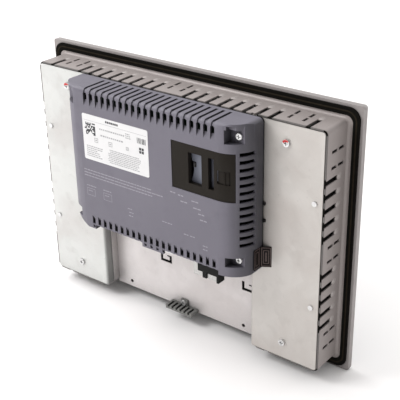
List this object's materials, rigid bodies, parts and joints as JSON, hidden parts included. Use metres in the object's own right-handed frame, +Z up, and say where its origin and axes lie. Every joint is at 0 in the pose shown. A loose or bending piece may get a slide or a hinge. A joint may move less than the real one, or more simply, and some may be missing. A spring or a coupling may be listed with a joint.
{
  "type": "hmi touch panel",
  "caption": "Panel-mount industrial touch display: flat bezel and gasket, slotted sheet-metal chassis, folded rear covers and a vented housing with memory card bay and connectors.",
  "frame": {"origin": "centre of the panel cutout, on the plane where the rear of the panel gasket meets the cabinet wall", "axes": "+Y to the rear of the panel, away from the operator; +Z up; +X to the operator's right, seen from the front"},
  "size_m": [0.4, 0.0837, 0.292],
  "materials": {
    "frame_paint": "satin taupe-grey coating with a light edge",
    "overlay_film": "fine matte film",
    "screen_glass": "etched anti-glare glass",
    "gasket_rubber": "matte",
    "bright_steel": "bright zinc",
    "zinc_sheet": "zinc-coated sheet with faint spangle",
    "chassis_metal": "satin warm grey",
    "optical_plastic": "clear and white sheets",
    "lamp_glass": "frosted tube",
    "circuit_board": "solder mask",
    "electronic_parts": "moulded packages",
    "housing_plastic": "fine-grained blue-grey moulding",
    "dark_plastic": "fine-grained dark moulding",
    "grey_plastic": "smooth",
    "white_plastic": "smooth",
    "heatsink_metal": "extruded",
    "contact_brass": "plated",
    "label_film": "white film",
    "seal_film": "black film",
    "cell_case": "wrapped cell"
  },
  "bodies": {
    "panel": {"front_frame": "frame_paint", "front_overlay": "overlay_film", "touch_glass": "screen_glass", "touch_seal": "gasket_rubber", "panel_gasket": "gasket_rubber", "lcd_frame": "bright_steel", "lcd_glass": "screen_glass", "diffuser_sheet": "optical_plastic", "light_guide": "optical_plastic", "backlight_tubes": "lamp_glass", "lcd_back": "bright_steel", "display_bracket": "zinc_sheet", "frame_screws": "bright_steel", "inverter_board": "circuit_board", "inverter_parts": "electronic_parts", "display_cable": "white_plastic", "chassis_tray": "chassis_metal", "rear_cover_left": "zinc_sheet", "rear_cover_right": "zinc_sheet", "cover_seals": "gasket_rubber", "cover_posts": "bright_steel", "cover_screws": "bright_steel", "cover_studs": "bright_steel", "center_plate": "zinc_sheet", "box_spacers": "bright_steel", "box_base": "dark_plastic", "box_shell": "housing_plastic", "box_screws": "bright_steel", "card_bay": "dark_plastic", "card_guide": "grey_plastic", "card_socket_large": "dark_plastic", "card_socket_small": "dark_plastic", "mainboard": "circuit_board", "board_standoffs": "contact_brass", "board_screws": "bright_steel", "cpu_heatsink": "heatsink_metal", "logic_chips": "electronic_parts", "capacitors": "electronic_parts", "power_board": "circuit_board", "power_parts": "electronic_parts", "battery_holder": "dark_plastic", "backup_battery": "cell_case", "interface_plate": "zinc_sheet", "usb_collar": "dark_plastic", "usb_shells": "bright_steel", "usb_tongues": "white_plastic", "ethernet_ports": "bright_steel", "serial_port": "bright_steel", "serial_jackscrews": "bright_steel", "power_socket": "dark_plastic", "power_pins": "contact_brass", "ground_stud": "contact_brass", "ground_nut": "bright_steel", "strain_relief": "dark_plastic", "strain_relief_screw": "bright_steel", "rating_label": "label_film", "seal_label": "seal_film"},
    "card_lock": {"card_lock": "dark_plastic"},
    "eject_button": {"eject_button": "grey_plastic"}
  },
  "joints": [
    {"name": "card_lock_slide", "type": "slide", "parent": "panel", "child": "card_lock", "axis": [1, 0, 0], "range_m": [0, 0.006]},
    {"name": "eject_press", "type": "slide", "parent": "panel", "child": "eject_button", "axis": [0, -1, 0], "range_m": [0, 0.005]}
  ]
}
